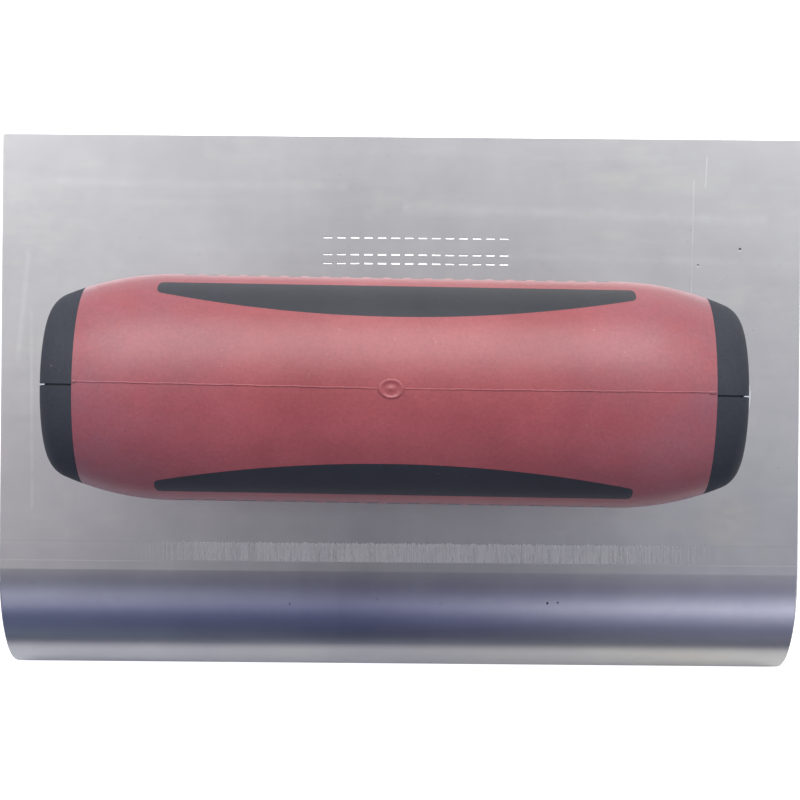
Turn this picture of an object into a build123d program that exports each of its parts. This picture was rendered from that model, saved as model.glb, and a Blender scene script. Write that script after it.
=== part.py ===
from build123d import *
import math
import os

# Concrete hand edger: a stainless blade whose front edge is rolled down into a
# quarter-round lip, a cast aluminium mounting riveted to it, and a moulded
# handle screwed to the mounting.
#
# Frame, in millimetres: the origin is the centre of the blade's flat working
# face, in plan the centre of the whole blade. +X runs along the blade and the
# handle, +Y points away from the lip, +Z points up to the handle.

INCH = 25.4

# ---- driving dimensions -----------------------------------------------------

# blade
BLADE_LENGTH = 6 * INCH
BLADE_DEPTH = 103.5                  # rear edge to the outside of the lip
SHEET = 1.2                          # sheet thickness
LIP_RADIUS = 0.75 * INCH             # inside radius of the quarter round
SHEARED_EDGE = 0.3                   # rounding of the sheared edges
BLADE_CORNER = 0.6                   # corner rounding in plan

# handle: an oval barrel, described in plan by tangent arcs
HANDLE_X = -0.9                      # handle centre, from the blade's centre
HANDLE_Y = 2.8
HANDLE_Z = 47.7                      # height of the handle's axis
HANDLE_TURN = -0.5                   # degrees out of square, as riveted
HALF_WIDTH = 18.6
FLATNESS = 0.86                      # height of the oval over its width
STRAIGHT_HALF = 36.0                 # half of the straight middle stretch
SHOULDER_RADIUS = 46.0
SHOULDER_END = 53.8                  # the shoulder arc ends here, from the centre
CORNER_RADIUS = 4.4
CORNER_END_TURN = 80.0               # slope, in degrees, where the end dome starts
CAP_FROM = 50.7                      # the caps start here, from the centre
SKIN = 3.0                           # thickness of sleeve, caps and pads
SEAM = (0.34, 0.35)                  # width and depth of the mould seam in the caps

# side pads: lens shapes let into the sleeve on both flanks
PAD_HALF_LENGTH = 38.3
PAD_CENTRE_X = 0.1
PAD_OUTER_Y = 16.8
PAD_INNER_Y = 11.6
PAD_INNER_RADIUS = 213.0
PAD_TIP_RADIUS = 0.8

# row of plain grip windows along each flank, below the pad
WINDOW_COUNT = 21
WINDOW_WIDTH = 2.1
WINDOW_HEIGHT = 6.0
WINDOW_PITCH = 3.35
WINDOW_SINK = 0.05                   # how far the dark filling lies below the sleeve

# core bosses that show in the middle of the caps
BOSS_RADIUS = 4.0
BOSS_DOME_RADIUS = 9.5
BOSS_PROUD_LEFT = 0.5
BOSS_PROUD_RIGHT = 1.0

# mounting
FOOT_SIZE = (68.0, 32.0, 3.4)
FOOT_CORNER = 7.0
SADDLE_SIZE = (62.0, 19.0, 6.0)
SADDLE_CORNER = 5.0
SADDLE_TOP = 37.3
POST_FOOT_HALF = 19.0                # half lengths of the post along X
POST_NECK_HALF = 10.5
POST_SADDLE_HALF = 15.0
POST_FOOT_HALF_Y = 11.0              # half widths of the post along Y
POST_NECK_HALF_Y = 5.5
POST_SADDLE_HALF_Y = 8.5
WINDOW_GAP = 0.4                     # sleeve clear of the saddle, all round
CAST_EDGE = 1.0

# rivets that hold the mounting to the blade
RIVET_X = 27.0
RIVET_Y = 10.0
RIVET_SHANK = 4.8
RIVET_HEAD = 9.0
RIVET_HEAD_HEIGHT = 2.2
RIVET_SINK_RADIUS = 3.6              # countersink, flush with the working face
RIVET_SINK_DEPTH = 0.9

# handle screws, quarter inch, with their washers and inserts
SCREW_X = 23.0
SCREW_SHANK = 0.25 * INCH
SCREW_LENGTH = 19.0
SCREW_HEAD = 10.6
SCREW_HEAD_HEIGHT = 4.0
SCREW_SLOT = (1.3, 1.6)              # width and depth of the driver slot
FLAT_WASHER = (14.0, 1.2)            # outside diameter and thickness
LOCK_WASHER = (11.4, 1.6)
LOCK_WASHER_SPLIT = 1.2
WASHER_BORE = 6.6
INSERT_DIAMETER = 9.4
INSERT_LENGTH = 12.0

# plain stamped strokes on the blade, behind the handle
STROKE_ROWS_Y = (25.7, 30.6)
STROKE_COUNT = 14
STROKE_SIZE = (1.6, 0.3)             # length and width of one stroke
STROKE_PAIR_GAP = 3.2                # two strokes, one behind the other
STROKE_DEPTH = 0.06
STROKE_FROM_X = -14.0
STROKE_TO_X = 19.6

# ---- derived dimensions -----------------------------------------------------

LIP_OUTER = LIP_RADIUS + SHEET
BEND_Y = -BLADE_DEPTH / 2 + LIP_OUTER
FOOT_TOP = SHEET + FOOT_SIZE[2]
SADDLE_UNDER = SADDLE_TOP - SADDLE_SIZE[2]
MOUNT_AT = Pos(HANDLE_X, HANDLE_Y, 0) * Rot(0, 0, HANDLE_TURN)
HANDLE_AT = MOUNT_AT * Pos(0, 0, HANDLE_Z)


def polar(centre, radius, angle):
    """Point on a circle, the angle in degrees from +X."""
    turn = math.radians(angle)
    return (centre[0] + radius * math.cos(turn), centre[1] + radius * math.sin(turn))


# ---- blade ------------------------------------------------------------------

def rivets():
    """The four rivets, where they hold the foot to the blade."""
    rivet = rivet_solid()
    return [
        MOUNT_AT * Pos(side * RIVET_X, end * RIVET_Y, 0) * rivet
        for side in (-1, 1)
        for end in (-1, 1)
    ]


def stamped_strokes():
    """Rows of plain short strokes: shallow V grooves that run along X."""
    pitch = (STROKE_TO_X - STROKE_FROM_X) / (STROKE_COUNT - 1)
    length, width = STROKE_SIZE
    groove = extrude(
        Plane.YZ * make_face(Polyline(
            (-width / 2, SHEET + 0.01),
            (width / 2, SHEET + 0.01),
            (0, SHEET - STROKE_DEPTH),
            close=True,
        )),
        amount=length / 2,
        both=True,
    )
    strokes = []
    for row_y in STROKE_ROWS_Y:
        for index in range(STROKE_COUNT):
            x = STROKE_FROM_X + index * pitch
            for y in (row_y - STROKE_PAIR_GAP / 2, row_y + STROKE_PAIR_GAP / 2):
                strokes.append(Pos(x, y, 0) * groove)
    return strokes


def rivet_solid():
    """One rivet on the Z axis: flush cone below, shank, domed head above."""
    shank = RIVET_SHANK / 2
    cone = Pos(0, 0, RIVET_SINK_DEPTH / 2) * Cone(RIVET_SINK_RADIUS, shank, RIVET_SINK_DEPTH)
    pin = Pos(0, 0, FOOT_TOP / 2) * Cylinder(shank, FOOT_TOP)
    head = RIVET_HEAD / 2
    dome_radius = (head ** 2 + RIVET_HEAD_HEIGHT ** 2) / (2 * RIVET_HEAD_HEIGHT)
    dome = Pos(0, 0, FOOT_TOP + RIVET_HEAD_HEIGHT - dome_radius) * Sphere(dome_radius)
    above_foot = Pos(0, 0, FOOT_TOP + dome_radius) * Box(3 * head, 3 * head, 2 * dome_radius)
    return cone + pin + (dome & above_foot)


def blade():
    """Flat sheet with the quarter-round lip along its front edge."""
    flat_depth = BLADE_DEPTH / 2 - BEND_Y
    flat = Pos((BLADE_DEPTH / 2 + BEND_Y) / 2, SHEET / 2) * Rectangle(flat_depth, SHEET)
    ring = Pos(BEND_Y, -LIP_RADIUS) * (Circle(LIP_OUTER) - Circle(LIP_RADIUS))
    quarter = Pos(BEND_Y - LIP_OUTER / 2, -LIP_RADIUS + LIP_OUTER / 2) * Rectangle(LIP_OUTER, LIP_OUTER)
    section = flat + (ring & quarter)
    sheet = extrude(Plane.YZ * section, amount=BLADE_LENGTH / 2, both=True)
    corners = sheet.edges().filter_by(lambda edge: abs(edge.length - SHEET) < 0.01)
    sheet = fillet(corners, BLADE_CORNER)
    rims = sheet.edges().filter_by(lambda edge: edge.length > SHEET + 0.5 or edge.length < SHEET - 0.1)
    rims = rims.filter_by(lambda edge: not is_bend_line(edge))
    sheet = fillet(rims, SHEARED_EDGE)
    return sheet - [*rivets(), *stamped_strokes()]


def is_bend_line(edge):
    """The two tangent lines where the flat sheet runs into the bend."""
    middle = edge @ 0.5
    along_x = abs((edge % 0.5).X) > 0.99
    return along_x and abs(middle.Y - BEND_Y) < 0.01


# ---- handle -----------------------------------------------------------------

def handle_outline(inset):
    """Half outline of the handle in plan, moved inwards by inset.

    The outline is a straight stretch and, at each end, a shoulder arc, a
    corner arc and a dome arc, all tangent. Moving it inwards only makes the
    radii smaller, so every layer of the handle has the same centres.
    """
    shoulder = (STRAIGHT_HALF, HALF_WIDTH - SHOULDER_RADIUS)
    turn = math.degrees(math.asin((SHOULDER_END - STRAIGHT_HALF) / SHOULDER_RADIUS))
    corner = polar(shoulder, SHOULDER_RADIUS - CORNER_RADIUS, 90 - turn)
    end_angle = 90 - CORNER_END_TURN
    dome_start = polar(corner, CORNER_RADIUS, end_angle)
    dome_radius = dome_start[1] / math.sin(math.radians(end_angle))
    dome = (dome_start[0] - dome_radius * math.cos(math.radians(end_angle)), 0)
    end = CenterArc(shoulder, SHOULDER_RADIUS - inset, 90 - turn, turn)
    end += CenterArc(corner, CORNER_RADIUS - inset, end_angle, 90 - turn - end_angle)
    end += CenterArc(dome, dome_radius - inset, 0, end_angle)
    tip = dome[0] + dome_radius - inset
    outline = Curve() + [
        Line((-STRAIGHT_HALF, HALF_WIDTH - inset), (STRAIGHT_HALF, HALF_WIDTH - inset)),
        end,
        mirror(end, about=Plane.YZ),
        Line((-tip, 0), (tip, 0)),
    ]
    return outline, tip


def barrel(inset):
    """Closed oval barrel about the X axis, moved inwards by inset."""
    outline, _ = handle_outline(inset)
    round_barrel = revolve(make_face(outline), Axis.X)
    return scale(round_barrel, by=(1, 1, FLATNESS))


def slab_between(x_from, x_to, reach=80):
    """Block that keeps only the stretch of the handle between two stations."""
    return Pos((x_from + x_to) / 2, 0, 0) * Box(x_to - x_from, reach, reach)


def boss(side, proud):
    """Core boss along X: a short pin with a domed end, proud of its cap."""
    tip = handle_outline(0)[1] + proud
    start = CAP_FROM
    pin = Pos((start + tip) / 2, 0, 0) * Rot(0, 90, 0) * Cylinder(BOSS_RADIUS, tip - start)
    dome = Pos(tip - BOSS_DOME_RADIUS, 0, 0) * Sphere(BOSS_DOME_RADIUS)
    pin = pin & dome
    return pin if side > 0 else mirror(pin, about=Plane.YZ)


def seam_groove():
    """Shallow groove all round the handle in its upright middle plane."""
    width, depth = SEAM
    length = 3 * CAP_FROM
    return Box(length, width, length) - barrel(depth)


def pad_prism(side):
    """Upright prism over one side pad: straight outer edge, arched inner edge."""
    arch_centre = (0, PAD_INNER_Y + PAD_INNER_RADIUS)
    strip = Pos(0, (PAD_INNER_Y + PAD_OUTER_Y) / 2) * Rectangle(2 * PAD_HALF_LENGTH, PAD_OUTER_Y - PAD_INNER_Y)
    lens = strip & (Pos(*arch_centre) * Circle(PAD_INNER_RADIUS))
    lens = fillet(lens.vertices(), PAD_TIP_RADIUS)
    prism = Pos(PAD_CENTRE_X, 0, 0) * extrude(lens, amount=2 * HALF_WIDTH)
    return prism if side > 0 else mirror(prism, about=Plane.XZ)


def window_posts(side):
    """Row of plain upright bars that fill the grip windows of one flank."""
    length = HALF_WIDTH
    posts = []
    for index in range(WINDOW_COUNT):
        x = PAD_CENTRE_X + (index - (WINDOW_COUNT - 1) / 2) * WINDOW_PITCH
        posts.append(Pos(x, side * length, 0) * Box(WINDOW_WIDTH, length, WINDOW_HEIGHT))
    return posts


def fill_layer(shape, outer, inner):
    """The part of a shape that lies between two layers of the handle."""
    return (shape & outer) - inner


def saddle_window():
    """Opening in the underside of the sleeve, clear of the saddle all round."""
    length = SADDLE_SIZE[0] + 2 * WINDOW_GAP
    width = SADDLE_SIZE[1] + 2 * WINDOW_GAP
    outline = RectangleRounded(length, width, SADDLE_CORNER + WINDOW_GAP)
    floor = -2 * HALF_WIDTH
    land = SADDLE_TOP - HANDLE_Z
    return Pos(0, 0, floor) * extrude(outline, amount=land - floor)


def handle_parts():
    """Core, caps, side pads and sleeve, built about the handle's own centre."""
    outer = barrel(0)
    inner = barrel(SKIN)
    filled = barrel(WINDOW_SINK)
    window = saddle_window()

    core = inner + boss(-1, BOSS_PROUD_LEFT) + boss(1, BOSS_PROUD_RIGHT) - window
    for side in (-1, 1):
        core -= Pos(side * SCREW_X, 0, -HANDLE_Z) * insert_envelope()

    shell = outer - inner
    tip = handle_outline(0)[1] + 1
    caps = {}
    for side, name, proud in ((-1, "end_cap_left", BOSS_PROUD_LEFT), (1, "end_cap_right", BOSS_PROUD_RIGHT)):
        ends = sorted((side * CAP_FROM, side * tip))
        caps[name] = (shell & slab_between(*ends)) - boss(side, proud) - seam_groove()

    sleeve = (shell & slab_between(-CAP_FROM, CAP_FROM)) - window
    pads = {}
    for side, name in ((-1, "side_pad_front"), (1, "side_pad_rear")):
        prism = pad_prism(side)
        posts = window_posts(side)
        pads[name] = [fill_layer(prism, outer, inner)]
        pads[name] += [fill_layer(post, filled, inner) for post in posts]
        sleeve -= [prism, *posts]
    return core, caps, pads, sleeve


# ---- mounting ---------------------------------------------------------------

def waisted(foot_half, neck_half, saddle_half):
    """Upright outline of the post: two concave arcs between foot and saddle."""
    low = FOOT_TOP - 0.5
    high = SADDLE_UNDER + 0.5
    middle = (low + high) / 2
    return make_face(Curve() + [
        Line((-foot_half, low), (foot_half, low)),
        ThreePointArc((foot_half, low), (neck_half, middle), (saddle_half, high)),
        Line((saddle_half, high), (-saddle_half, high)),
        ThreePointArc((-saddle_half, high), (-neck_half, middle), (-foot_half, low)),
    ])


def mounting():
    """Cast foot, waisted post and saddle, drilled for rivets and screws."""
    foot = Pos(0, 0, SHEET) * extrude(RectangleRounded(FOOT_SIZE[0], FOOT_SIZE[1], FOOT_CORNER), FOOT_SIZE[2])
    foot = fillet(foot.faces().sort_by(Axis.Z)[-1].edges(), CAST_EDGE)
    saddle_plan = RectangleRounded(SADDLE_SIZE[0], SADDLE_SIZE[1], SADDLE_CORNER)
    saddle = Pos(0, 0, SADDLE_UNDER) * extrude(saddle_plan, SADDLE_SIZE[2])
    saddle = fillet(saddle.faces().sort_by(Axis.Z)[0].edges(), CAST_EDGE)
    along_x = waisted(POST_FOOT_HALF, POST_NECK_HALF, POST_SADDLE_HALF)
    along_y = waisted(POST_FOOT_HALF_Y, POST_NECK_HALF_Y, POST_SADDLE_HALF_Y)
    post = extrude(Plane.XZ * along_x, amount=FOOT_SIZE[1], both=True)
    post = post & extrude(Plane.YZ * along_y, amount=FOOT_SIZE[0], both=True)
    upright = [edge for edge in post.edges() if abs((edge % 0.5).Z) > 0.5]
    post = fillet(upright, 2 * CAST_EDGE)
    casting = foot + post + saddle
    for side in (-1, 1):
        casting -= Pos(side * SCREW_X, 0, (SADDLE_TOP + SADDLE_UNDER) / 2) * Cylinder(
            SCREW_SHANK / 2, SADDLE_SIZE[2])
    return MOUNT_AT * casting - rivets()


# ---- screws, washers and inserts, each on its own Z axis ----------------------

FLAT_WASHER_FROM = SADDLE_UNDER - FLAT_WASHER[1]
LOCK_WASHER_FROM = FLAT_WASHER_FROM - LOCK_WASHER[1]
SCREW_FROM = LOCK_WASHER_FROM - SCREW_HEAD_HEIGHT


def screw():
    """Round-headed slotted screw, head down."""
    head = Pos(0, 0, SCREW_FROM + SCREW_HEAD_HEIGHT / 2) * Cylinder(SCREW_HEAD / 2, SCREW_HEAD_HEIGHT)
    head = fillet(head.edges().sort_by(Axis.Z)[0], SCREW_HEAD_HEIGHT * 0.6)
    shank_from = LOCK_WASHER_FROM
    shank = Pos(0, 0, shank_from + SCREW_LENGTH / 2) * Cylinder(SCREW_SHANK / 2, SCREW_LENGTH)
    shank = chamfer(shank.edges().sort_by(Axis.Z)[-1], 0.8)
    slot_width, slot_depth = SCREW_SLOT
    slot = Pos(0, 0, SCREW_FROM + slot_depth / 2) * Box(SCREW_HEAD * 2, slot_width, slot_depth)
    return head + shank - slot


def washer(outside, thickness, bottom, split=0):
    """Flat ring; with a split it is a spring lock washer."""
    ring = Cylinder(outside / 2, thickness) - Cylinder(WASHER_BORE / 2, thickness)
    if split:
        ring -= Pos(outside / 2, 0, 0) * Rot(0, 25, 0) * Box(outside, split, 3 * thickness)
    return Pos(0, 0, bottom + thickness / 2) * ring


def insert_envelope():
    """The space in the core that one threaded insert fills."""
    return Pos(0, 0, SADDLE_TOP + INSERT_LENGTH / 2) * Cylinder(INSERT_DIAMETER / 2, INSERT_LENGTH)


def insert():
    """Brass insert: a sleeve moulded into the core and bored for the screw."""
    bore = Pos(0, 0, SADDLE_TOP + INSERT_LENGTH / 2) * Cylinder(SCREW_SHANK / 2, INSERT_LENGTH)
    return insert_envelope() - bore


def at_both_screws(solid):
    """The same solid under both screw places."""
    return [MOUNT_AT * Pos(side * SCREW_X, 0, 0) * solid for side in (-1, 1)]


# ---- write one STEP file per piece --------------------------------------------

def write(name, shapes):
    """Write one node; several solids in one node are a group."""
    solids = []
    for shape in shapes:
        solids.extend(shape.solids())
    node = solids[0] if len(solids) == 1 else Compound(solids)
    node.label = name
    export_step(node, f"parts/{name}.step")


def main():
    os.makedirs("parts", exist_ok=True)
    core, caps, pads, sleeve = handle_parts()
    write("blade", [blade()])
    write("mounting", [mounting()])
    write("blade_rivets", rivets())
    write("handle_core", [HANDLE_AT * core])
    write("grip_sleeve", [HANDLE_AT * sleeve])
    for name, cap in caps.items():
        write(name, [HANDLE_AT * cap])
    for name, pieces in pads.items():
        write(name, [HANDLE_AT * piece for piece in pieces])
    write("handle_screws", at_both_screws(screw()))
    write("lock_washers", at_both_screws(washer(*LOCK_WASHER, LOCK_WASHER_FROM, LOCK_WASHER_SPLIT)))
    write("flat_washers", at_both_screws(washer(*FLAT_WASHER, FLAT_WASHER_FROM)))
    write("threaded_inserts", at_both_screws(insert()))


main()
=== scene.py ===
import math

import bpy
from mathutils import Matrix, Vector
from mathutils.bvhtree import BVHTree

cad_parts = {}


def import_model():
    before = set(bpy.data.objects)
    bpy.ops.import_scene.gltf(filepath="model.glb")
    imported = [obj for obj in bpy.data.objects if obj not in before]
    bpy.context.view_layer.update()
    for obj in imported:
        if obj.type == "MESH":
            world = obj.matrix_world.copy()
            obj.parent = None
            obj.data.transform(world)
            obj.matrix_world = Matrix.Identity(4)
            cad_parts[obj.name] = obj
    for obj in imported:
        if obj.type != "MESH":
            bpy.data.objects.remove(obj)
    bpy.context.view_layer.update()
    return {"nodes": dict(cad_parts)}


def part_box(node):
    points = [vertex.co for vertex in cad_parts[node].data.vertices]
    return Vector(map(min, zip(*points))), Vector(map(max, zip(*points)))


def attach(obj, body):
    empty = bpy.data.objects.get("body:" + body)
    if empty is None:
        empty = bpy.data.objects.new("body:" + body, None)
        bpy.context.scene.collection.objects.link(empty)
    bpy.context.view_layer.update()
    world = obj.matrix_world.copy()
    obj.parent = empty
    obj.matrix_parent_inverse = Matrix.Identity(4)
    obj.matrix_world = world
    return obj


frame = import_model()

# Looks for the concrete hand edger. Everything is in metres, in the CAD frame:
# the blade's working face is z = 0, +Y points away from the rolled lip.

MM = 0.001

# ---- places read from the frame ---------------------------------------------

BLADE_LOW, BLADE_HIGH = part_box("blade")
SLEEVE_LOW, SLEEVE_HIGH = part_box("grip_sleeve")
HANDLE_CENTRE = (SLEEVE_LOW + SLEEVE_HIGH) / 2
TURNED_CORNER = 0.15 * MM            # the turned sleeve makes its box this much longer at each end
CAP_FROM = (SLEEVE_HIGH.x - SLEEVE_LOW.x) / 2 - TURNED_CORNER
LIP_BOTTOM = BLADE_LOW.z
SHEET = BLADE_HIGH.z                 # thickness: the working face is at z = 0
LIP_OUTER = SHEET - LIP_BOTTOM
BEND_Y = BLADE_LOW.y + LIP_OUTER     # where the flat sheet runs into the lip
WINDOW_HALF = 31.4 * MM              # half of the sleeve's opening for the saddle
HANDLE_TURN = math.radians(-0.5)     # the handle is riveted a little out of square

# ---- camera, lights and floor -----------------------------------------------

CAMERA_HEIGHT = 340 * MM             # above the blade's top
CAMERA_Y = 1.3 * MM
CAMERA_ROLL = 0.5                    # degrees
LENS = 80.2
SENSOR_WIDTH = 36
CLIP = (0.01, 20)

LIGHT_TARGET = (0, 0, 0.02)
KEY_PLACE = (-0.05, 0.75, 0.85)
KEY_SIZE = (1.3, 0.7)
KEY_POWER = 11
FILL_PLACE = (0, -0.9, 0.06)
FILL_SIZE = (1.4, 0.3)
FILL_POWER = 1.7
FILL_COLOUR = (0.9, 0.92, 1.0)

FLOOR_HALF = 3.0
FLOOR_ROUGHNESS = 0.9
FLOOR_GLOW = 0.9                     # glow that only the camera sees, to keep the floor plain
FLOOR_NEAR = 0.025                   # the floor is palest up to here, ahead of the lip
FLOOR_FAR = 0.075                    # and painted dark from here on: painted shade, seen only in reflections
FLOOR_LEFT = -0.1                    # its tint changes between here and as far to the right

# ---- small helpers ----------------------------------------------------------


def link(obj):
    """Put a new object in the scene."""
    bpy.context.scene.collection.objects.link(obj)
    return obj


def mesh_object(name, verts, faces):
    """New smooth-shaded mesh object from vertices and faces."""
    mesh = bpy.data.meshes.new(name)
    mesh.from_pydata([tuple(v) for v in verts], [], faces)
    mesh.update()
    mesh.polygons.foreach_set("use_smooth", [True] * len(mesh.polygons))
    return link(bpy.data.objects.new(name, mesh))


def set_material(obj, material):
    """Give the whole object one material."""
    obj.data.materials.clear()
    obj.data.materials.append(material)


# ---- node graph helpers -----------------------------------------------------


class Graph:
    """Short names for the nodes that the materials and the surroundings are made of."""

    def __init__(self, tree, coordinates="Object"):
        self.tree = tree
        self.place = self.node("TexCoord").outputs[coordinates]

    def node(self, kind, **values):
        """New node; values are its properties or, if it has none so named, its inputs."""
        node = self.tree.nodes.new("ShaderNode" + kind)
        for key, value in values.items():
            if hasattr(node, key):
                setattr(node, key, value)
            else:
                node.inputs[key.replace("_", " ")].default_value = value
        return node

    def wire(self, output, target):
        """Connect an output to an input."""
        self.tree.links.new(output, target)

    def axis(self, index):
        """One of the three coordinates."""
        split = self.node("SeparateXYZ")
        self.wire(self.place, split.inputs[0])
        return split.outputs[index]

    def stretched(self, scale, move=(0, 0, 0)):
        """The coordinates, scaled per axis and moved."""
        mapping = self.node("Mapping")
        mapping.inputs["Scale"].default_value = scale
        mapping.inputs["Location"].default_value = move
        self.wire(self.place, mapping.inputs["Vector"])
        return mapping.outputs["Vector"]

    def noise(self, scale, detail=4, rough=0.55, vector=None):
        """Fractal noise, 0 to 1."""
        noise = self.node("TexNoise", Scale=scale, Detail=detail, Roughness=rough)
        self.wire(vector or self.place, noise.inputs["Vector"])
        return noise.outputs["Fac"]

    def ramp(self, value, stops):
        """Map a value through (position, grey or colour) stops."""
        ramp = self.node("ValToRGB")
        elements = ramp.color_ramp.elements
        while len(elements) > 1:
            elements.remove(elements[-1])
        for index, (position, shade) in enumerate(stops):
            element = elements[0] if index == 0 else elements.new(position)
            element.position = position
            colour = shade if isinstance(shade, tuple) else (shade, shade, shade)
            element.color = (*colour, 1.0)
        self.wire(value, ramp.inputs["Fac"])
        return ramp.outputs["Color"]

    def math(self, operation, first, second=None, clamp=False):
        """Arithmetic on outputs or numbers."""
        node = self.node("Math", operation=operation, use_clamp=clamp)
        for index, value in enumerate((first, second)):
            if value is None:
                continue
            if isinstance(value, (int, float)):
                node.inputs[index].default_value = value
            else:
                self.wire(value, node.inputs[index])
        return node.outputs["Value"]

    def above(self, value, threshold, gain):
        """How far a value is above a threshold, times a gain, held within 0 and 1."""
        return self.math("MULTIPLY", self.math("SUBTRACT", value, threshold), gain, clamp=True)

    def below(self, value, threshold, gain):
        """How far a value is below a threshold, times a gain, held within 0 and 1."""
        return self.math("MULTIPLY", self.math("SUBTRACT", threshold, value), gain, clamp=True)

    def share(self, value, start, end):
        """Where a value lies between two others, held within 0 and 1."""
        node = self.node("MapRange", From_Min=start, From_Max=end)
        self.wire(value, node.inputs["Value"])
        return node.outputs[0]

    def mix(self, factor, first, second, blend="MIX"):
        """Blend two colours."""
        node = self.node("Mix", data_type="RGBA", blend_type=blend)
        for socket, value in ((node.inputs[0], factor), (node.inputs[6], first), (node.inputs[7], second)):
            if isinstance(value, (int, float)):
                socket.default_value = value
            elif isinstance(value, tuple):
                socket.default_value = (*value, 1.0)
            else:
                self.wire(value, socket)
        return node.outputs[2]

    def bump(self, height, distance, strength, below=None):
        """Bump from a height, stacked on another bump."""
        node = self.node("Bump", Distance=distance, Strength=strength)
        self.wire(height, node.inputs["Height"])
        if below:
            self.wire(below, node.inputs["Normal"])
        return node.outputs["Normal"]


def new_material(name):
    """New material, with its graph and the inputs of its shader."""
    material = bpy.data.materials.new(name)
    material.use_nodes = True
    graph = Graph(material.node_tree)
    return material, graph, graph.tree.nodes["Principled BSDF"].inputs


# ---- steel of the blade -----------------------------------------------------
# Places on the blade are given in plan.

SHEET_DARK = (0.605, 0.605, 0.63)
SHEET_LIGHT = (0.73, 0.73, 0.74)
WARM_CLOUD = (0.77, 0.77, 0.71)
ROLLING_STREAK = (0.89, 0.89, 0.90)
PRESS_MARK = (0.98, 0.98, 0.98)
BETWEEN_MARKS = (0.40, 0.40, 0.42)
REAR_LINE = (0.45, 0.45, 0.47)
FRONT_LINE = (0.95, 0.95, 0.95)
SPECK = (0.36, 0.36, 0.38)
SCRATCHED = (0.98, 0.98, 0.98)
PITTED = (0.16, 0.16, 0.18)
STRAW = (0.86, 0.83, 0.66)
SHEET_ROUGHNESS = 0.18

# press marks behind the bend
BAND_FROM = 1.7 * MM
BAND_WIDTH = 3.7 * MM
BAND_RAGGED = 1.2 * MM               # how much the rear edge of the band wanders
BAND_LEFT = -52 * MM
BAND_RIGHT = 66 * MM
BAND_EDGE = 6000                     # how steeply the band starts and ends, per metre
BAND_FADE_LEFT = 60
BAND_FADE_RIGHT = 40
LINE_END = 2000                      # how steeply a scratch ends

# scratches: start, end, half width and strength
SCRATCHES = [
    ((55.4 * MM, 22 * MM), (55.7 * MM, 44 * MM), 0.14 * MM, 0.45),
    ((55.6 * MM, 36 * MM), (55.7 * MM, 44 * MM), 0.22 * MM, 0.55),
    ((57.9 * MM, 42 * MM), (58.2 * MM, 48.5 * MM), 0.18 * MM, 0.6),
    ((60 * MM, 24 * MM), (66 * MM, 30 * MM), 0.10 * MM, 0.3),
    ((-73 * MM, 8 * MM), (-71 * MM, 30 * MM), 0.8 * MM, 0.28),
    ((-70 * MM, -20 * MM), (-70.5 * MM, 18 * MM), 0.5 * MM, 0.2),
    ((0 * MM, 38.0 * MM), (70 * MM, 36.2 * MM), 1.6 * MM, 0.22),
    ((-66 * MM, 42.5 * MM), (-10 * MM, 42 * MM), 1.2 * MM, 0.15),
    ((20 * MM, 29 * MM), (72 * MM, 28 * MM), 1.2 * MM, 0.14),
    ((-73.4 * MM, -41.8 * MM), (-71.2 * MM, -42.6 * MM), 0.10 * MM, 0.6),
]
# pits: centre and radius
PITS = [
    ((64.6 * MM, 30.6 * MM), 0.30 * MM),
    ((56.6 * MM, 27.5 * MM), 0.22 * MM),
    ((-20.8 * MM, -37.9 * MM), 0.22 * MM),
    ((-4.2 * MM, -36.8 * MM), 0.22 * MM),
    ((-1.9 * MM, -39.1 * MM), 0.18 * MM),
    ((8.0 * MM, -37.6 * MM), 0.18 * MM),
    ((28.5 * MM, -37.3 * MM), 0.30 * MM),
    ((30.5 * MM, -37.2 * MM), 0.22 * MM),
]
# a faint straw-coloured stain
STRAW_CENTRE = (62 * MM, -21 * MM)
STRAW_RADIUS = 7 * MM


def press_band(g):
    """Mask of the band behind the bend that the press marked."""
    x = g.axis(0)
    behind = g.math("SUBTRACT", g.axis(1), BEND_Y + BAND_FROM)
    wander = g.noise(1, detail=2, rough=0.5, vector=g.stretched((2200, 30, 1)))
    rear_edge = g.math("SUBTRACT", BAND_WIDTH, behind)
    rear_edge = g.math("ADD", rear_edge, g.math("MULTIPLY", g.math("SUBTRACT", wander, 0.5), BAND_RAGGED))
    rear = g.math("MULTIPLY", rear_edge, BAND_EDGE, clamp=True)
    front = g.math("MULTIPLY", behind, BAND_EDGE, clamp=True)
    left = g.above(x, BAND_LEFT, BAND_FADE_LEFT)
    right = g.below(x, BAND_RIGHT, BAND_FADE_RIGHT)
    return g.math("MULTIPLY", g.math("MULTIPLY", rear, front), g.math("MULTIPLY", left, right))


def press_marks(g, band):
    """Mask of the short strokes within that band."""
    strokes = g.noise(1, detail=4, rough=0.8, vector=g.stretched((4200, 90, 1)))
    return g.math("MULTIPLY", band, g.above(strokes, 0.36, 4))


def thin_line(g, distance, half_width):
    """1 on a line, fading to 0 at half_width from it."""
    away = g.math("DIVIDE", g.math("ABSOLUTE", distance), half_width)
    return g.math("SUBTRACT", 1, away, clamp=True)


def scratch(g, start, end, half_width):
    """Mask of one straight scratch between two points of the blade."""
    (x0, y0), (x1, y1) = start, end
    length = math.hypot(x1 - x0, y1 - y0)
    unit = ((x1 - x0) / length, (y1 - y0) / length)
    x = g.math("SUBTRACT", g.axis(0), x0)
    y = g.math("SUBTRACT", g.axis(1), y0)
    along = g.math("ADD", g.math("MULTIPLY", x, unit[0]), g.math("MULTIPLY", y, unit[1]))
    across = g.math("SUBTRACT", g.math("MULTIPLY", y, unit[0]), g.math("MULTIPLY", x, unit[1]))
    from_middle = g.math("ABSOLUTE", g.math("SUBTRACT", along, length / 2))
    inside = g.below(from_middle, length / 2, LINE_END)
    return g.math("MULTIPLY", thin_line(g, across, half_width), inside)


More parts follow.
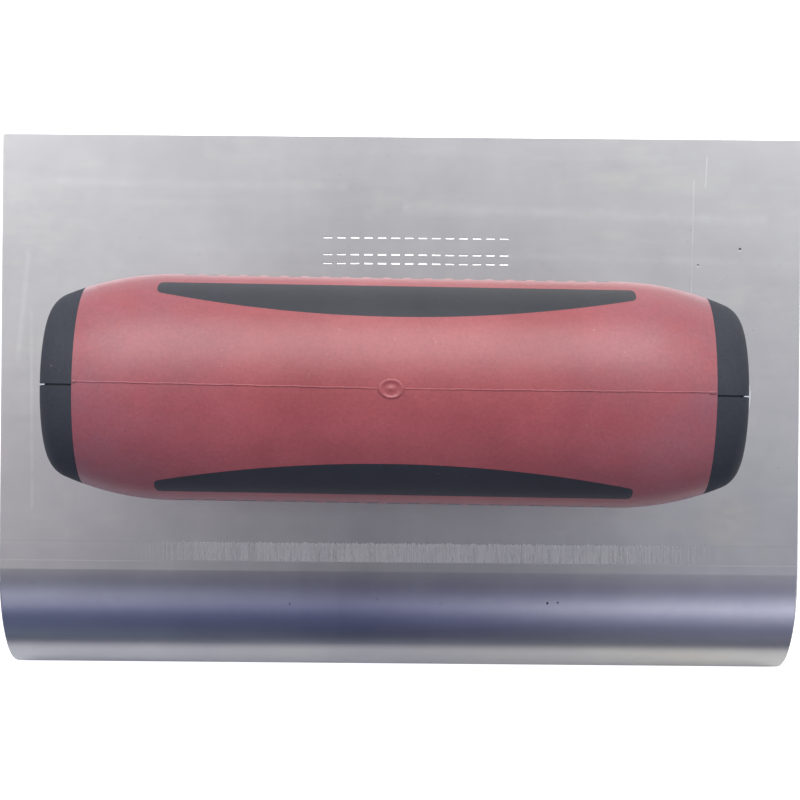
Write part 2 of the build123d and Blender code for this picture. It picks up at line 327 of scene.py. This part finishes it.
def spot(g, centre, radius):
    """Mask of one round spot on the blade, soft at its edge."""
    x = g.math("SUBTRACT", g.axis(0), centre[0])
    y = g.math("SUBTRACT", g.axis(1), centre[1])
    away = g.math("SQRT", g.math("ADD", g.math("MULTIPLY", x, x), g.math("MULTIPLY", y, y)))
    return g.math("SUBTRACT", 1, g.math("DIVIDE", away, radius), clamp=True)


def all_scratches(g):
    """Mask of every scratch, broken up along its length."""
    scratches = None
    for start, end, half_width, strength in SCRATCHES:
        line = g.math("MULTIPLY", scratch(g, start, end, half_width), strength)
        scratches = g.math("MAXIMUM", scratches, line) if scratches else line
    broken = g.ramp(g.noise(260, detail=4, rough=0.7), [(0.38, 0.35), (0.62, 1.0)])
    return g.math("MULTIPLY", scratches, broken)


def all_pits(g):
    """Mask of every pit, sharper at its edge than a plain spot."""
    pits = None
    for centre, radius in PITS:
        pit = g.math("MULTIPLY", spot(g, centre, radius), 3, clamp=True)
        pits = g.math("MAXIMUM", pits, pit) if pits else pit
    return pits


def mill_finish(g):
    """Colour of the unmarked sheet: cloudy, with warm clouds and streaks from rolling."""
    colour = g.ramp(g.noise(28, detail=6, rough=0.7), [(0.3, SHEET_DARK), (0.7, SHEET_LIGHT)])
    clouds = g.noise(1, detail=5, rough=0.7, vector=g.stretched((22, 70, 22), move=(0.4, 0.1, 0)))
    colour = g.mix(g.ramp(clouds, [(0.52, 0.0), (0.70, 0.45)]), colour, WARM_CLOUD)
    rolled = g.noise(1, detail=4, rough=0.65, vector=g.stretched((9, 160, 160)))
    return g.mix(g.above(rolled, 0.5, 0.55), colour, ROLLING_STREAK)


def stainless():
    """Mill-finish stainless sheet, with press marks behind the bend and light wear."""
    material, g, shader = new_material("stainless_sheet")
    shader["Metallic"].default_value = 1.0
    band = press_band(g)
    marks = press_marks(g, band)
    pits = all_pits(g)
    from_band = g.math("SUBTRACT", g.axis(1), BEND_Y + BAND_FROM)

    colour = mill_finish(g)
    colour = g.mix(g.math("MULTIPLY", marks, 0.18), colour, PRESS_MARK)
    gaps = g.math("SUBTRACT", band, marks, clamp=True)
    colour = g.mix(g.math("MULTIPLY", gaps, 0.35), colour, BETWEEN_MARKS)
    rear_line = thin_line(g, g.math("SUBTRACT", from_band, BAND_WIDTH), 0.22 * MM)
    colour = g.mix(g.math("MULTIPLY", rear_line, 0.15), colour, REAR_LINE)
    front_line = thin_line(g, from_band, 0.18 * MM)
    colour = g.mix(g.math("MULTIPLY", front_line, 0.3), colour, FRONT_LINE)
    colour = g.mix(g.above(g.noise(1300, detail=2, rough=0.5), 0.74, 9), colour, SPECK)
    colour = g.mix(all_scratches(g), colour, SCRATCHED)
    colour = g.mix(pits, colour, PITTED)
    patchy = g.ramp(g.noise(120, detail=4, rough=0.7), [(0.4, 0.0), (0.65, 0.5)])
    stain = g.math("MULTIPLY", spot(g, STRAW_CENTRE, STRAW_RADIUS), patchy)
    colour = g.mix(stain, colour, STRAW)
    g.wire(colour, shader["Base Color"])

    streaks = g.noise(1, detail=3, rough=0.6, vector=g.stretched((900, 18, 18)))
    roughness = g.math("ADD", g.math("MULTIPLY", streaks, 0.03), SHEET_ROUGHNESS)
    patches = g.noise(22, detail=5, rough=0.65)
    roughness = g.math("ADD", roughness, g.math("MULTIPLY", patches, 0.08))
    roughness = g.math("ADD", roughness, g.math("MULTIPLY", marks, 0.09))
    g.wire(roughness, shader["Roughness"])

    grain = g.noise(1100, detail=4, rough=0.6, vector=g.stretched((1, 0.5, 0.5)))
    grained = g.bump(grain, 0.006 * MM, 0.35)
    dents = g.math("SUBTRACT", marks, g.math("MULTIPLY", pits, 2))
    g.wire(g.bump(dents, 0.02 * MM, 0.5, grained), shader["Normal"])
    return material


# ---- plastics, rubber and small metal parts ---------------------------------

MOULD_GRAIN = 0.03 * MM              # depth of the moulded grain
RUBBED_FROM = 22 * MM                # the grip is smudged from here to its ends
RUBBED_GAIN = 28
DUST = (0.55, 0.45, 0.45)
CAST_GRAIN = 0.02 * MM


def add_smudges(g, colour, smudge):
    """Cloudy smudges that grow towards the ends of the handle."""
    towards_end = g.above(g.math("ABSOLUTE", g.axis(0)), RUBBED_FROM, RUBBED_GAIN)
    clouds = g.noise(60, detail=6, rough=0.75, vector=g.stretched((1, 1, 1), move=(3, 1, 2)))
    cloud = g.ramp(clouds, [(0.40, 0.25), (0.62, 0.9)])
    return g.mix(g.math("MULTIPLY", cloud, towards_end), colour, smudge)


def add_dust(g, colour, dust, pore):
    """Uneven skin, with flecks of dust and darker pores."""
    skin = g.ramp(g.noise(1700, detail=4, rough=0.75), [(0.35, 0.90), (0.65, 1.09)])
    colour = g.mix(1.0, colour, skin, "MULTIPLY")
    flecks = g.above(g.noise(1500, detail=3, rough=0.6), 0.70, 6)
    colour = g.mix(g.math("MULTIPLY", flecks, dust), colour, DUST)
    pores = g.below(g.noise(2100, detail=3, rough=0.6), 0.34, 6)
    return g.mix(g.math("MULTIPLY", pores, dust), colour, pore)


def moulded(name, dark, light, roughness, ior=1.5, smudge=None, dust=0.0, sheen=0.0):
    """Moulded plastic or rubber: mottled, finely grained, with smudges and dust."""
    material, g, shader = new_material(name)
    colour = g.ramp(g.noise(60, detail=4, rough=0.6), [(0.3, dark), (0.7, light)])
    if smudge:
        colour = add_smudges(g, colour, smudge)
    if dust:
        colour = add_dust(g, colour, dust, tuple(c * 0.5 for c in dark))
    g.wire(colour, shader["Base Color"])
    uneven = g.math("MULTIPLY", g.noise(400, detail=3), 0.1)
    g.wire(g.math("ADD", uneven, roughness - 0.05), shader["Roughness"])
    shader["IOR"].default_value = ior
    shader["Sheen Weight"].default_value = sheen
    shader["Sheen Roughness"].default_value = 0.5
    rubbed = g.bump(g.noise(350, detail=4, rough=0.6), 3 * MOULD_GRAIN, 0.25)
    g.wire(g.bump(g.noise(4000, detail=3, rough=0.6), MOULD_GRAIN, 0.6, rubbed), shader["Normal"])
    return material


def plain_metal(name, colour, roughness):
    """Small metal parts."""
    material, g, shader = new_material(name)
    shader["Metallic"].default_value = 1.0
    darker = tuple(c * 0.9 for c in colour)
    g.wire(g.ramp(g.noise(90, detail=4), [(0.3, darker), (0.7, colour)]), shader["Base Color"])
    uneven = g.math("MULTIPLY", g.noise(500, detail=3), 0.15)
    g.wire(g.math("ADD", uneven, roughness - 0.07), shader["Roughness"])
    g.wire(g.bump(g.noise(2500, detail=3), CAST_GRAIN, 0.5), shader["Normal"])
    return material


STEEL = stainless()
RED = moulded("red_grip", (0.262, 0.049, 0.058), (0.347, 0.075, 0.085), 0.39,
              ior=1.55, smudge=(0.25, 0.095, 0.125), dust=0.7, sheen=0.15)
CHARCOAL = moulded("charcoal_plastic", (0.029, 0.033, 0.044), (0.040, 0.044, 0.056), 0.72,
                   ior=1.35, dust=0.3)
PAD = moulded("charcoal_pad", (0.014, 0.016, 0.023), (0.022, 0.024, 0.033), 0.42,
              dust=0.3, sheen=0.12)
PALE = moulded("core_plastic", (0.58, 0.63, 0.70), (0.66, 0.70, 0.76), 0.35)
CAST = plain_metal("cast_aluminium", (0.60, 0.61, 0.62), 0.45)
RIVET = plain_metal("rivet_alloy", (0.72, 0.72, 0.73), 0.35)
ZINC = plain_metal("zinc_steel", (0.66, 0.68, 0.70), 0.3)
BRASS = plain_metal("brass_insert", (0.75, 0.56, 0.25), 0.35)

NODE_MATERIALS = {
    "blade": STEEL,
    "mounting": CAST,
    "blade_rivets": RIVET,
    "handle_core": PALE,
    "grip_sleeve": RED,
    "end_cap_left": CHARCOAL,
    "end_cap_right": CHARCOAL,
    "side_pad_front": PAD,
    "side_pad_rear": PAD,
    "handle_screws": ZINC,
    "lock_washers": ZINC,
    "flat_washers": ZINC,
    "threaded_inserts": BRASS,
}
for node_name, node_material in NODE_MATERIALS.items():
    set_material(frame["nodes"][node_name], node_material)

# ---- moulding details on the handle -----------------------------------------
# Places on the handle are given along its axis and across it, from its centre.

REACH = 40 * MM                      # rays start this far from the handle's axis
SUNK = 0.04 * MM                     # how deep a detail's rim lies under the surface

RIDGE_STEP = 0.5 * MM
RIDGE_WIDTH = 0.36 * MM
RIDGE_HEIGHT = 0.14 * MM
RIDGE_REAR = 0.25 * MM               # the top ridge lies this far behind the middle,
RIDGE_BOW = 0.30 * MM                # and farther towards its ends
RIDGE_SWAY = ((0.03 * MM, 700), (0.02 * MM, 1900))     # size and rate of its small waves
RIDGE_WAVE = 430                     # rate at which its height varies
RIDGE_CLEAR = 0.05 * MM              # it stops short of the caps
WINDOW_CLEAR = 0.3 * MM              # and of the opening for the saddle

GATE_ALONG = -0.5 * MM
GATE_SIZE = (2.2 * MM, 1.7 * MM)     # half length and half width
GATE_HEIGHT = 0.20 * MM
GATE_RIM = 0.86                      # the gate mark falls away outside this share of its radius
FADE_LENGTH = 5 * MM                 # the ridge dies away over this length, right of the gate

FLASH_HEIGHT = 0.28 * MM
FLASH_SUNK = 0.02 * MM
FLASH_LEFT = (0.35 * MM, (0.3 * MM, 0.3 * MM))         # place inward of the cap, and half sizes
FLASH_RIGHT = (0.72 * MM, (0.7 * MM, 0.36 * MM))
FLASH_MESH = (6, 20)                 # rings and spokes
GATE_MESH = (14, 40)

SLIVER_FROM = 32.5                   # degrees up from the handle's axis, just outside the boss
SLIVER_TO = 69
SLIVER_STEPS = 12
SLIVER_SUNK = 0.05 * MM
SLIVER_HEIGHT = 0.42 * MM            # above the bottom of the seam
SLIVER_HALF = 0.15 * MM
SLIVER_TAPER = 0.6


def surface_of(node):
    """Ray-cast target made from a node's mesh."""
    mesh = frame["nodes"][node].data
    verts = [v.co.copy() for v in mesh.vertices]
    faces = [list(face.vertices) for face in mesh.polygons]
    return BVHTree.FromPolygons(verts, faces)


def in_plan(along, across):
    """Plan position of a place on the handle."""
    x = HANDLE_CENTRE.x + along * math.cos(HANDLE_TURN) - across * math.sin(HANDLE_TURN)
    y = HANDLE_CENTRE.y + along * math.sin(HANDLE_TURN) + across * math.cos(HANDLE_TURN)
    return x, y


def on_skin(target, along, across, side, height):
    """Point at a height above the handle's top (side 1) or underside (side -1)."""
    x, y = in_plan(along, across)
    start = Vector((x, y, HANDLE_CENTRE.z + side * REACH))
    hit = target.ray_cast(start, Vector((0, 0, -side)))[0]
    return hit + Vector((0, 0, side * height))


def tube(name, rings, flip=False):
    """Closed mesh swept through rings of points, with flat ends."""
    count = len(rings[0])
    verts = [point for ring in rings for point in ring]
    faces = []
    for step in range(len(rings) - 1):
        for index in range(count):
            near = step * count + index
            near_next = step * count + (index + 1) % count
            faces.append((near, near_next, near_next + count, near + count))
    faces.append(tuple(reversed(range(count))))
    faces.append(tuple(range(len(verts) - count, len(verts))))
    if flip:
        faces = [tuple(reversed(face)) for face in faces]
    return mesh_object(name, verts, faces)


def ridge_height(along):
    """The ridge is fullest on the left and dies away just right of the gate."""
    past_gate = (along - GATE_ALONG) / FADE_LENGTH
    faded = 0.35 + 0.65 * min(1, abs(past_gate - 1)) if 0 < past_gate < 2 else 1
    return RIDGE_HEIGHT * faded * (0.85 + 0.15 * math.sin(along * RIDGE_WAVE))


def parting_ridge(name, target, start, end, side):
    """Thin raised line that the mould left along the sleeve."""
    steps = max(2, round(abs(end - start) / RIDGE_STEP))
    rings = []
    for step in range(steps + 1):
        along = start + (end - start) * step / steps
        middle = RIDGE_REAR + RIDGE_BOW * abs(along) / CAP_FROM if side > 0 else 0
        middle += sum(size * math.sin(along * rate) for size, rate in RIDGE_SWAY)
        top = ridge_height(along)
        shoulder = 0.75 * top
        section = [(-0.5, -SUNK), (0.5, -SUNK), (0.24, shoulder), (0, top), (-0.24, shoulder)]
        rings.append([
            on_skin(target, along, middle + side * across * RIDGE_WIDTH, side, up)
            for across, up in section
        ])
    return tube(name, rings)


def relief(name, target, centre, half_sizes, height_at, mesh_size):
    """Low raised patch on top of the handle, closed underneath."""
    rings, spokes = mesh_size
    verts = [on_skin(target, *centre, 1, height_at(0, 0))]
    for ring in range(1, rings + 1):
        radius = ring / rings
        for spoke in range(spokes):
            turn = 2 * math.pi * spoke / spokes
            along = centre[0] + half_sizes[0] * radius * math.cos(turn)
            across = centre[1] + half_sizes[1] * radius * math.sin(turn)
            height = height_at(radius, turn) if ring < rings else -SUNK
            verts.append(on_skin(target, along, across, 1, height))
    faces = [(0, 1 + spoke, 1 + (spoke + 1) % spokes) for spoke in range(spokes)]
    for ring in range(rings - 1):
        inner = 1 + ring * spokes
        outer = inner + spokes
        for spoke in range(spokes):
            following = (spoke + 1) % spokes
            faces.append((inner + spoke, outer + spoke, outer + following, inner + following))
    rim = 1 + (rings - 1) * spokes
    faces.append(tuple(reversed(range(rim, rim + spokes))))
    return mesh_object(name, verts, faces)


def gate_height(radius, turn):
    """Raised ring round a sunk, shield-shaped bed with a small nub, as the gate left it."""
    point = max(0, -math.sin(turn)) ** 3
    bed_edge = 0.60 + 0.14 * point - 0.05 * max(0, math.cos(2 * turn))
    inside = 1 / (1 + math.exp((radius - bed_edge) / 0.035))
    ring = 1 - 0.25 * ((radius - 0.78) / 0.2) ** 2
    nub = 0.75 * math.exp(-(radius / 0.22) ** 2)
    height = ring * (1 - inside) + (0.12 + nub) * inside
    outside = min(1, max(0, (radius - GATE_RIM) / (1 - GATE_RIM)))
    return GATE_HEIGHT * height * (1 - outside) - SUNK * outside


def flash_height(radius, _turn):
    """Smooth low mound."""
    return FLASH_HEIGHT * math.sqrt(max(0, 1 - radius ** 2)) - FLASH_SUNK


def seam_sliver(name, side):
    """Pale sliver that fills the seam at the end of a cap."""
    target = surface_of("end_cap_left" if side < 0 else "end_cap_right")
    x, y = in_plan(side * CAP_FROM, 0)
    pivot = Vector((x, y, HANDLE_CENTRE.z))
    half = Vector((0, SLIVER_HALF, 0))
    rings = []
    for step in range(SLIVER_STEPS + 1):
        turn = math.radians(SLIVER_FROM + (SLIVER_TO - SLIVER_FROM) * step / SLIVER_STEPS)
        ahead_x, ahead_y = in_plan(side * (CAP_FROM + math.cos(turn)), 0)
        out = Vector((ahead_x - x, ahead_y - y, math.sin(turn)))
        bed = target.ray_cast(pivot + out * REACH, -out)[0]
        if bed is None:              # still inside the boss's hole
            continue
        low = bed - out * SLIVER_SUNK
        high = bed + out * SLIVER_HEIGHT
        rings.append([low - half, low + half, high + SLIVER_TAPER * half, high - SLIVER_TAPER * half])
    return tube(name, rings, flip=side > 0)


def add_detail(piece, material):
    """Finish one extra piece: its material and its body."""
    set_material(piece, material)
    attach(piece, "root")


def flash(name, target, side, place, half_sizes):
    """Small lump where the parting line meets a cap."""
    centre = (side * (CAP_FROM - place), RIDGE_REAR + RIDGE_BOW)
    return relief(name, target, centre, half_sizes, flash_height, FLASH_MESH)


def moulding_details():
    """Ridges, gate mark and flash on the sleeve, and pale slivers in the cap seams."""
    sleeve = surface_of("grip_sleeve")
    end = CAP_FROM - RIDGE_CLEAR
    gate_left = GATE_ALONG - GATE_RIM * GATE_SIZE[0]
    gate_right = GATE_ALONG + GATE_RIM * GATE_SIZE[0]
    window = WINDOW_HALF + WINDOW_CLEAR
    red_pieces = [
        parting_ridge("parting_ridge_left", sleeve, -end, gate_left, 1),
        parting_ridge("parting_ridge_right", sleeve, gate_right, end, 1),
        relief("gate_mark", sleeve, (GATE_ALONG, RIDGE_REAR), GATE_SIZE, gate_height, GATE_MESH),
        flash("flash_left", sleeve, -1, *FLASH_LEFT),
        flash("flash_right", sleeve, 1, *FLASH_RIGHT),
        parting_ridge("parting_ridge_below_left", sleeve, -end, -window, -1),
        parting_ridge("parting_ridge_below_right", sleeve, window, end, -1),
    ]
    for piece in red_pieces:
        add_detail(piece, RED)
    # A pale sliver, in the core's colour, sits in each cap seam.
    for name, side in (("seam_sliver_left", -1), ("seam_sliver_right", 1)):
        add_detail(seam_sliver(name, side), PALE)


moulding_details()

# ---- stage ------------------------------------------------------------------


def floor_material():
    """Floor, white to the camera; in reflections it is pale near the lip and painted dark further away, as
    painted shade.
    """
    material, g, shader = new_material("floor_white")
    # Painted shade: the floor's colour darkens away from the lip, and the lip shows it in its reflection.
    ahead = g.math("SUBTRACT", BLADE_LOW.y, g.axis(1))
    shade = g.ramp(ahead, [
        (0.0, (0.84, 0.84, 0.83)),
        (FLOOR_NEAR, (0.74, 0.74, 0.73)),
        (FLOOR_FAR, (0.10, 0.11, 0.15)),
    ])
    to_the_right = g.above(g.axis(0), FLOOR_LEFT, -0.5 / FLOOR_LEFT)
    tint = g.ramp(to_the_right, [
        (0.0, (0.76, 0.78, 0.83)),
        (0.5, (0.87, 0.86, 0.87)),
        (0.8, (1.0, 0.98, 0.88)),
        (1.0, (0.93, 0.93, 0.91)),
    ])
    g.wire(g.mix(1.0, shade, tint, "MULTIPLY"), shader["Base Color"])
    shader["Roughness"].default_value = FLOOR_ROUGHNESS
    shader["Emission Color"].default_value = (1.0, 1.0, 1.0, 1.0)
    seen_by_camera = g.node("LightPath").outputs["Is Camera Ray"]
    g.wire(g.math("MULTIPLY", seen_by_camera, FLOOR_GLOW), shader["Emission Strength"])
    return material


def stage():
    """Pale floor that the lip touches."""
    corners = [(-1, -1), (1, -1), (1, 1), (-1, 1)]
    verts = [(x * FLOOR_HALF, y * FLOOR_HALF, LIP_BOTTOM) for x, y in corners]
    floor = mesh_object("floor", verts, [(0, 1, 2, 3)])
    set_material(floor, floor_material())


def area_light(name, place, size, power, colour=(1, 1, 1)):
    """Soft rectangular light, aimed at the tool."""
    data = bpy.data.lights.new(name, "AREA")
    data.shape = "RECTANGLE"
    data.size, data.size_y = size
    data.energy = power
    data.color = colour
    light = link(bpy.data.objects.new(name, data))
    light.location = place
    direction = Vector(LIGHT_TARGET) - Vector(place)
    light.rotation_euler = direction.to_track_quat("-Z", "Y").to_euler()
    light.visible_camera = False
    return light


# The surroundings, by angle in degrees from straight up towards the front of
# the blade; behind the blade the angle is negative. The middle is the dim strip
# that the camera stands in, and to the left and the right of it the tent is
# brighter.
BEHIND = [
    (-180, (0.50, 0.50, 0.51)),
    (-100, (0.70, 0.70, 0.71)),
]
UNDERNEATH = [
    (180, (0.30, 0.30, 0.32)),
]
MIDDLE = BEHIND + [
    (-60, (1.05, 1.05, 1.06)),
    (-22, (0.95, 0.95, 0.96)),
    (-7, (0.52, 0.52, 0.54)),
    (2, (0.03, 0.03, 0.05)),
    (30, (0.01, 0.012, 0.06)),
    (44, (0.08, 0.09, 0.23)),
    (55, (0.03, 0.038, 0.14)),
    (72, (0.03, 0.035, 0.10)),
    (90, (0.03, 0.032, 0.06)),
] + UNDERNEATH
LEFT = BEHIND + [
    (-60, (1.05, 1.05, 1.06)),
    (-25, (1.10, 1.10, 1.11)),
    (-6, (0.94, 0.93, 0.95)),
    (4, (0.58, 0.55, 0.57)),
    (12, (0.22, 0.22, 0.27)),
    (22, (0.25, 0.255, 0.33)),
    (33, (0.48, 0.49, 0.62)),
    (45, (0.44, 0.455, 0.62)),
    (58, (0.13, 0.145, 0.25)),
    (72, (0.11, 0.13, 0.22)),
    (90, (0.17, 0.20, 0.27)),
] + UNDERNEATH
RIGHT = BEHIND + [
    (-60, (1.00, 1.00, 1.01)),
    (-25, (1.00, 1.00, 1.01)),
    (-6, (0.86, 0.86, 0.88)),
    (4, (0.46, 0.46, 0.50)),
    (14, (0.33, 0.33, 0.41)),
    (24, (0.26, 0.265, 0.36)),
    (36, (0.56, 0.57, 0.72)),
    (46, (0.98, 0.99, 1.19)),
    (58, (0.46, 0.47, 0.64)),
    (72, (0.20, 0.21, 0.31)),
    (90, (0.24, 0.245, 0.30)),
] + UNDERNEATH
SIDE_REACH = 0.2                     # sideways share of a direction that is fully at one side
BACKDROP = (1.0, 1.0, 1.0, 1.0)


def tent(g, turn, stops):
    """Colours of one strip of the tent, by the share of a whole turn."""
    return g.ramp(turn, [((degrees + 180) / 360, colour) for degrees, colour in stops])


def world():
    """A light tent: bright above and behind, dim and cool in front.

    The camera itself sees the plain pale backdrop.
    """
    studio = bpy.data.worlds.new("studio")
    bpy.context.scene.world = studio
    studio.use_nodes = True
    g = Graph(studio.node_tree, "Generated")
    sideways = g.axis(0)
    forward = g.math("MULTIPLY", g.axis(1), -1)
    turn = g.share(g.math("ARCTAN2", forward, g.axis(2)), -math.pi, math.pi)
    colour = g.mix(g.share(sideways, 0, -SIDE_REACH), tent(g, turn, MIDDLE), tent(g, turn, LEFT))
    colour = g.mix(g.share(sideways, 0, SIDE_REACH), colour, tent(g, turn, RIGHT))
    lighting = g.tree.nodes["Background"]
    g.wire(colour, lighting.inputs["Color"])
    backdrop = g.node("Background", Color=BACKDROP)
    seen = g.node("MixShader")
    g.wire(g.node("LightPath").outputs["Is Camera Ray"], seen.inputs["Fac"])
    g.wire(lighting.outputs[0], seen.inputs[1])
    g.wire(backdrop.outputs[0], seen.inputs[2])
    g.wire(seen.outputs[0], g.tree.nodes["World Output"].inputs["Surface"])


def lights():
    """One big soft key from above and behind the blade, and a low fill in front."""
    area_light("key", KEY_PLACE, KEY_SIZE, KEY_POWER)
    fill = area_light("fill", FILL_PLACE, FILL_SIZE, FILL_POWER, FILL_COLOUR)
    fill.visible_glossy = False


def camera():
    """Straight above the blade."""
    data = bpy.data.cameras.new("camera")
    data.lens = LENS
    data.sensor_width = SENSOR_WIDTH
    data.clip_start, data.clip_end = CLIP
    cam = link(bpy.data.objects.new("camera", data))
    cam.location = (0, CAMERA_Y, SHEET + CAMERA_HEIGHT)
    cam.rotation_euler = (0, 0, math.radians(CAMERA_ROLL))
    bpy.context.scene.camera = cam


stage()
world()
lights()
camera()
bpy.context.scene.view_settings.view_transform = "Standard"
bpy.context.scene.view_settings.look = "None"
